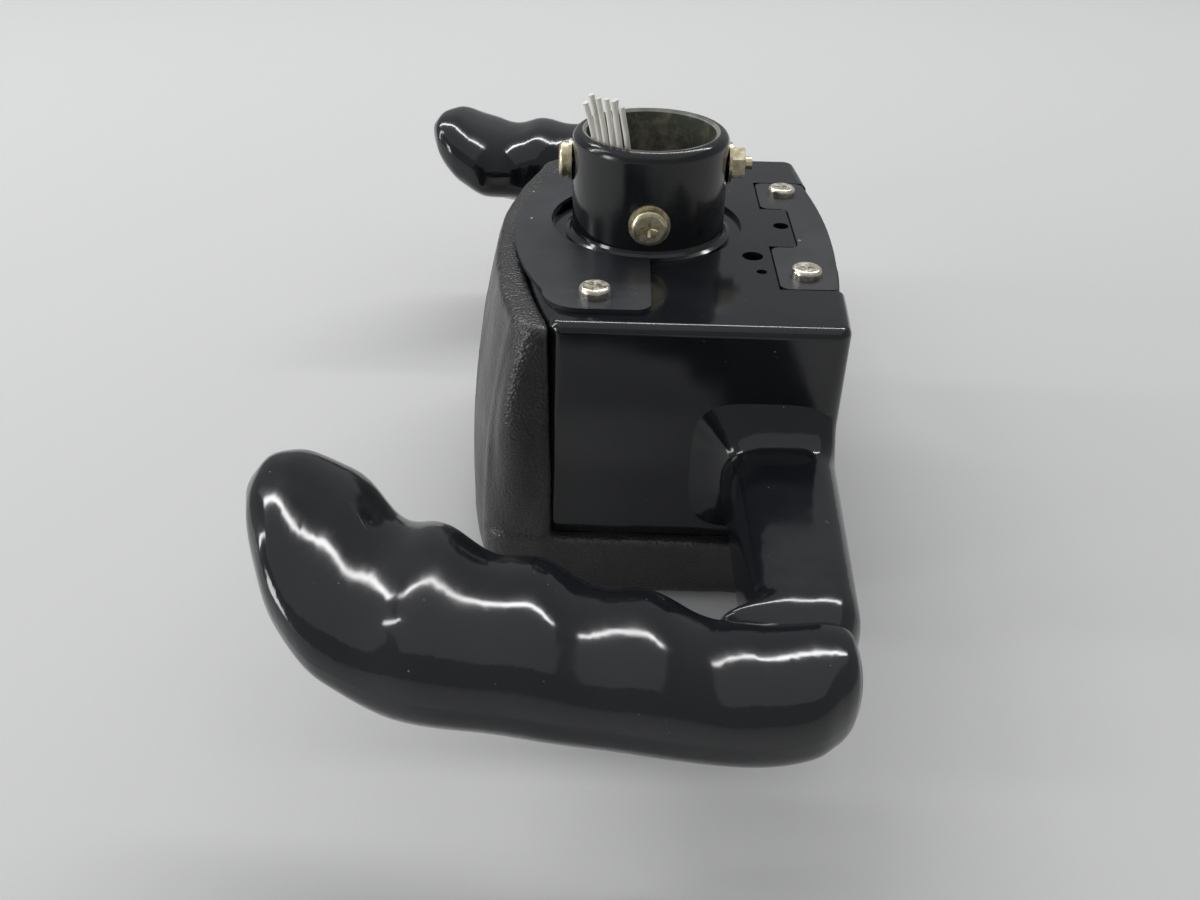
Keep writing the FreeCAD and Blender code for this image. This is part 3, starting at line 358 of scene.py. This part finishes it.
def materials():
    """One material for each slot of the record."""
    return {
        "moulding_gloss_black": moulding_gloss_black(),
        "collar_black": collar_black(),
        "plate_satin_black": plate_satin_black(),
        "pad_black_vinyl": pad_black_vinyl(),
        "backing_steel": plated("backing_steel", (0.36, 0.35, 0.33), (0.22, 0.20, 0.17), 0.38),
        "cadmium_gold": plated("cadmium_gold", (0.70, 0.64, 0.44), (0.42, 0.37, 0.24), 0.26),
        "nickel_bright": plated("nickel_bright", (0.78, 0.75, 0.63), (0.50, 0.46, 0.36), 0.24),
        "zinc_steel": plated("zinc_steel", (0.55, 0.55, 0.54), (0.34, 0.34, 0.33), 0.30),
        "wire_white": wire_white(),
        "grommet_rubber": plastic("grommet_rubber", (0.022, 0.021, 0.020), 0.62),
        "switch_black": plastic("switch_black", (0.013, 0.013, 0.014), 0.42),
        "button_red": plastic("button_red", (0.36, 0.018, 0.012), 0.24),
        "bushing_metal": plated("bushing_metal", (0.56, 0.55, 0.53), (0.36, 0.34, 0.31), 0.28),
    }


def dress_nodes(found):
    """Give every CAD node the material of its slot."""
    for row in frame["record"]["subparts"]:
        node = frame["nodes"][row["node"]]
        node.data.materials.clear()
        node.data.materials.append(found[row["material_slot"]])


def copied(name, node):
    """A new piece with a welded copy of a CAD node's mesh."""
    obj = bpy.data.objects.new(name, frame["nodes"][node].data.copy())
    bpy.context.collection.objects.link(obj)
    shape = bmesh.new()
    shape.from_mesh(obj.data)
    bmesh.ops.remove_doubles(shape, verts=shape.verts, dist=WELD)
    shape.to_mesh(obj.data)
    shape.free()
    return obj


def refined(obj, voxel, smoothing):
    """Give a piece a fine even mesh with softened edges."""
    remesh = obj.modifiers.new("remesh", "REMESH")
    remesh.mode = "VOXEL"
    remesh.voxel_size = voxel
    remesh.use_smooth_shade = True
    smooth = obj.modifiers.new("smooth", "SMOOTH")
    smooth.factor = 0.5
    smooth.iterations = smoothing
    shaped = obj.evaluated_get(bpy.context.evaluated_depsgraph_get())
    mesh = bpy.data.meshes.new_from_object(shaped)
    obj.modifiers.clear()
    obj.data = mesh


def finish(obj, node, body, slot, found):
    """Let a piece stand for its CAD node, with that node's body and material."""
    obj.data.materials.clear()
    obj.data.materials.append(found[slot])
    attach(obj, body)
    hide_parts(node)


def hump(value, middle, width):
    """A smooth bump of height 1 about a middle."""
    return math.exp(-((value - middle) / width) ** 2)


def rise(value, low, high):
    """A smooth step from 0 to 1."""
    t = max(0.0, min(1.0, (value - low) / (high - low)))
    return t * t * (3 - 2 * t)


def vinyl_rise(place):
    """How far the vinyl stands out at a place: the roll by the seam, wrinkles and pebbles."""
    along = max(0.0, min(1.0, (ROLL_TOP_Z - place.z) / (ROLL_TOP_Z - ROLL_FOOT_Z)))
    at_end = rise(abs(place.y), HUB_HALF_Y - SEAM_FADE_IN, HUB_HALF_Y + SEAM_FADE_OUT)
    belly = math.sin(math.pi * along) * at_end
    roll = ROLL_RISE * hump(place.x, ROLL_X, ROLL_WIDTH)
    valley = VALLEY_DEPTH * hump(place.x, VALLEY_X, VALLEY_WIDTH)
    stretched = Vector((place.x, place.y, place.z * WRINKLE_STRETCH)) / WRINKLE_SIZE
    wrinkle = noise.fractal(stretched, WRINKLE_FALL, WRINKLE_STEP, WRINKLE_OCTAVES)
    out = belly * (roll - valley) + WRINKLE_RISE * wrinkle
    return out + PEBBLE_RISE * noise.noise(place / PEBBLE_SIZE)


def vinyl_pad(found):
    """The padded pilot side with its skirt, as stretched vinyl over foam."""
    obj = copied("vinyl_pad", "front_pad")
    refined(obj, PAD_VOXEL, PAD_SMOOTHING)
    outward = [vertex.normal.copy() for vertex in obj.data.vertices]
    for vertex, normal in zip(obj.data.vertices, outward):
        beside_hub = abs(vertex.co.y) < HUB_HALF_Y + HUB_GAP
        faces_hub = normal.x > FACES_HUB or normal.z > FACES_UP
        if not (beside_hub and faces_hub):
            vertex.co += normal * vinyl_rise(vertex.co)
    obj.data.update()
    finish(obj, "front_pad", "root", "pad_black_vinyl", found)


def wire_curve(number, points):
    """One wire as a smooth cord on its route."""
    data = bpy.data.curves.new("cord_wire_%d" % number, "CURVE")
    data.dimensions = "3D"
    data.bevel_depth = WIRE_DIAMETER / 2
    data.bevel_resolution = 6
    data.resolution_u = 24
    data.use_fill_caps = True
    spline = data.splines.new("NURBS")
    spline.points.add(len(points) - 1)
    for point, place in zip(spline.points, points):
        point.co = (*place, 1)
    spline.order_u = 3
    spline.use_endpoint_u = True
    obj = bpy.data.objects.new("cord_wire_%d" % number, data)
    bpy.context.collection.objects.link(obj)
    return obj


def wires(found):
    """The loose wires, cut off bare a little above the collar."""
    for number, points in enumerate(WIRE_ROUTES, 1):
        obj = wire_curve(number, points)
        obj.data.materials.append(found["wire_white"])
        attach(obj, "root")
        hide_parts("wire_%d" % number)


def camera():
    """The photograph's camera."""
    turn, lift, roll = CAMERA_TURN, CAMERA_LIFT, CAMERA_ROLL
    back = Vector((math.sin(turn) * math.cos(lift), -math.cos(turn) * math.cos(lift), math.sin(lift)))
    right = Vector((math.cos(turn), math.sin(turn), 0))
    up = back.cross(right)
    rolled_right = math.cos(roll) * right + math.sin(roll) * up
    rolled_up = -math.sin(roll) * right + math.cos(roll) * up
    to_object = Matrix((rolled_right, rolled_up, back))
    ray = Vector(((ORIGIN_PIXEL[0] - PHOTO_WIDTH / 2) / FOCAL_PIXELS,
                  -(ORIGIN_PIXEL[1] - PHOTO_HEIGHT / 2) / FOCAL_PIXELS, -1.0))
    aim = Vector((0, 0, -1)).rotation_difference(ray).to_matrix()
    data = bpy.data.cameras.new("camera")
    data.sensor_width = SENSOR_WIDTH
    data.lens = FOCAL_PIXELS * SENSOR_WIDTH / PHOTO_WIDTH
    obj = bpy.data.objects.new("camera", data)
    bpy.context.collection.objects.link(obj)
    turned = to_object.transposed() @ aim.transposed()
    obj.matrix_world = Matrix.Translation(back * CAMERA_DISTANCE) @ turned.to_4x4()
    bpy.context.scene.camera = obj


def lamp(name, place, size, watts):
    """A soft rectangular lamp at a place, turned to the frame's origin."""
    data = bpy.data.lights.new(name, "AREA")
    data.shape = "RECTANGLE"
    data.size, data.size_y = size
    data.energy = watts
    obj = bpy.data.objects.new(name, data)
    bpy.context.collection.objects.link(obj)
    obj.location = place
    obj.rotation_mode = "QUATERNION"
    obj.rotation_quaternion = (-Vector(place)).to_track_quat("-Z", "Y")


def studio():
    """A plain pale floor under soft lamps."""
    z = min(CAD_BOX[0].z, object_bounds()[0].z)
    half = FLOOR_SIZE / 2
    mesh = bpy.data.meshes.new("floor")
    corners = [(-half, -half, z), (half, -half, z), (half, half, z), (-half, half, z)]
    mesh.from_pydata(corners, [], [(0, 1, 2, 3)])
    floor = bpy.data.objects.new("floor", mesh)
    bpy.context.collection.objects.link(floor)
    paint = Shader("floor_paint", FLOOR_COLOR, 0.85)
    paint.surface.inputs["Specular IOR Level"].default_value = 0.1
    mesh.materials.append(paint.material)
    floor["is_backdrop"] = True
    world = bpy.data.worlds.new("studio")
    world.use_nodes = True
    sky = world.node_tree.nodes["Background"]
    sky.inputs["Color"].default_value = SKY_COLOR
    sky.inputs["Strength"].default_value = SKY_STRENGTH
    bpy.context.scene.world = world
    for name, place, size, watts in LAMPS:
        lamp(name, place, size, watts)


def main():
    """Dress the frame, add the soft and loose pieces, then light and view it."""
    found = materials()
    dress_nodes(found)
    camera()
    vinyl_pad(found)
    wires(found)
    studio()
    bpy.context.scene.view_settings.view_transform = "Standard"


main()
